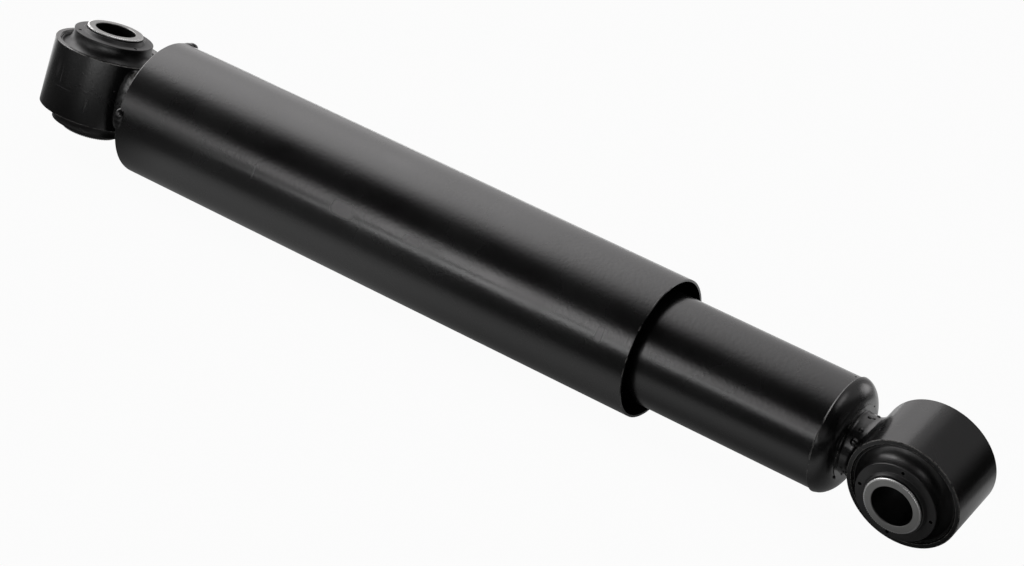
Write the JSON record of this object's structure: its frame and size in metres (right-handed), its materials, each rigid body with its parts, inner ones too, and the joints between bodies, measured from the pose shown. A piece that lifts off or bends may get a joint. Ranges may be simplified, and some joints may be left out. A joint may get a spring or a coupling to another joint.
{
  "type": "shock absorber",
  "caption": "Twin-tube hydraulic shock absorber with a rubber-bushed ring eye at each end, a dust tube over the rod and a narrower oil reservoir sliding inside it.",
  "frame": {"origin": "centre of the upper eye bore, on the rod side", "axes": "+X along the damper towards the lower eye, +Z along the upper eye bore, out of its upper end"},
  "size_m": [0.6241, 0.0847, 0.082],
  "materials": {
    "black_paint": "semi-gloss black paint",
    "weld_paint": "black paint over weld bead",
    "bush_rubber": "moulded black rubber",
    "sleeve_steel": "bare cut steel, phosphated sides",
    "hard_chrome": "hard chromed and polished",
    "stop_rubber": "moulded rubber",
    "machined_steel": "turned steel",
    "spring_steel": "hardened strip",
    "sintered_iron": "sintered iron, steam treated",
    "slide_plastic": "filled slide plastic",
    "bronze": "bronze-backed bush",
    "seal_rubber": "oil seal rubber"
  },
  "bodies": {
    "upper_sleeve": {"upper_sleeve": "sleeve_steel"},
    "rod_side": {"upper_eye_ring": "black_paint", "upper_bush": "bush_rubber", "upper_eye_weld": "weld_paint", "dust_end_plate": "black_paint", "dust_tube": "black_paint", "dust_tube_tack_welds": "weld_paint", "piston_rod": "hard_chrome", "rebound_stop": "stop_rubber", "intake_stop": "machined_steel", "intake_spring": "spring_steel", "piston": "sintered_iron", "rebound_discs": "spring_steel", "rebound_washer": "machined_steel", "piston_nut": "machined_steel"},
    "intake_disc": {"intake_disc": "spring_steel"},
    "piston_ring": {"piston_ring": "slide_plastic"},
    "reservoir_side": {"reservoir_tube": "black_paint", "lower_end_cap": "black_paint", "pressure_tube": "machined_steel", "rod_guide": "sintered_iron", "guide_bush": "bronze", "rod_seal": "seal_rubber", "seal_spring": "spring_steel", "guide_o_ring": "seal_rubber", "base_valve_body": "sintered_iron", "replenish_spring": "spring_steel", "base_valve_discs": "spring_steel", "base_valve_bolt": "machined_steel", "base_valve_nut": "machined_steel", "lower_eye_weld": "weld_paint", "lower_eye_ring": "black_paint", "lower_bush": "bush_rubber"},
    "replenish_disc": {"replenish_disc": "spring_steel"},
    "lower_sleeve": {"lower_sleeve": "sleeve_steel"}
  },
  "joints": [
    {"name": "upper_bush_twist", "type": "hinge", "parent": "upper_sleeve", "child": "rod_side", "pos_m": [0, 0, 0], "axis": [0, 0, 1], "range_deg": [-15, 15], "stiffness_Nm_per_rad": 80},
    {"name": "rod_turn", "type": "hinge", "parent": "rod_side", "child": "piston_ring", "pos_m": [0.43, 0, 0], "axis": [1, 0, 0], "continuous": true},
    {"name": "stroke", "type": "slide", "parent": "piston_ring", "child": "reservoir_side", "axis": [1, 0, 0], "range_m": [-0.014, 0.306]},
    {"name": "lower_bush_twist", "type": "hinge", "parent": "reservoir_side", "child": "lower_sleeve", "pos_m": [0.5575, 0, 0], "axis": [0, 0.9135, 0.4067], "range_deg": [-15, 15], "stiffness_Nm_per_rad": 80},
    {"name": "intake_disc_lift", "type": "slide", "parent": "rod_side", "child": "intake_disc", "axis": [-1, 0, 0], "range_m": [0, 0.0008], "stiffness_N_per_m": 500, "springref_m": -0.002, "deforming": ["intake_spring"]},
    {"name": "replenish_disc_lift", "type": "slide", "parent": "reservoir_side", "child": "replenish_disc", "axis": [-1, 0, 0], "range_m": [0, 0.0008], "stiffness_N_per_m": 500, "springref_m": -0.002, "deforming": ["replenish_spring"]}
  ]
}
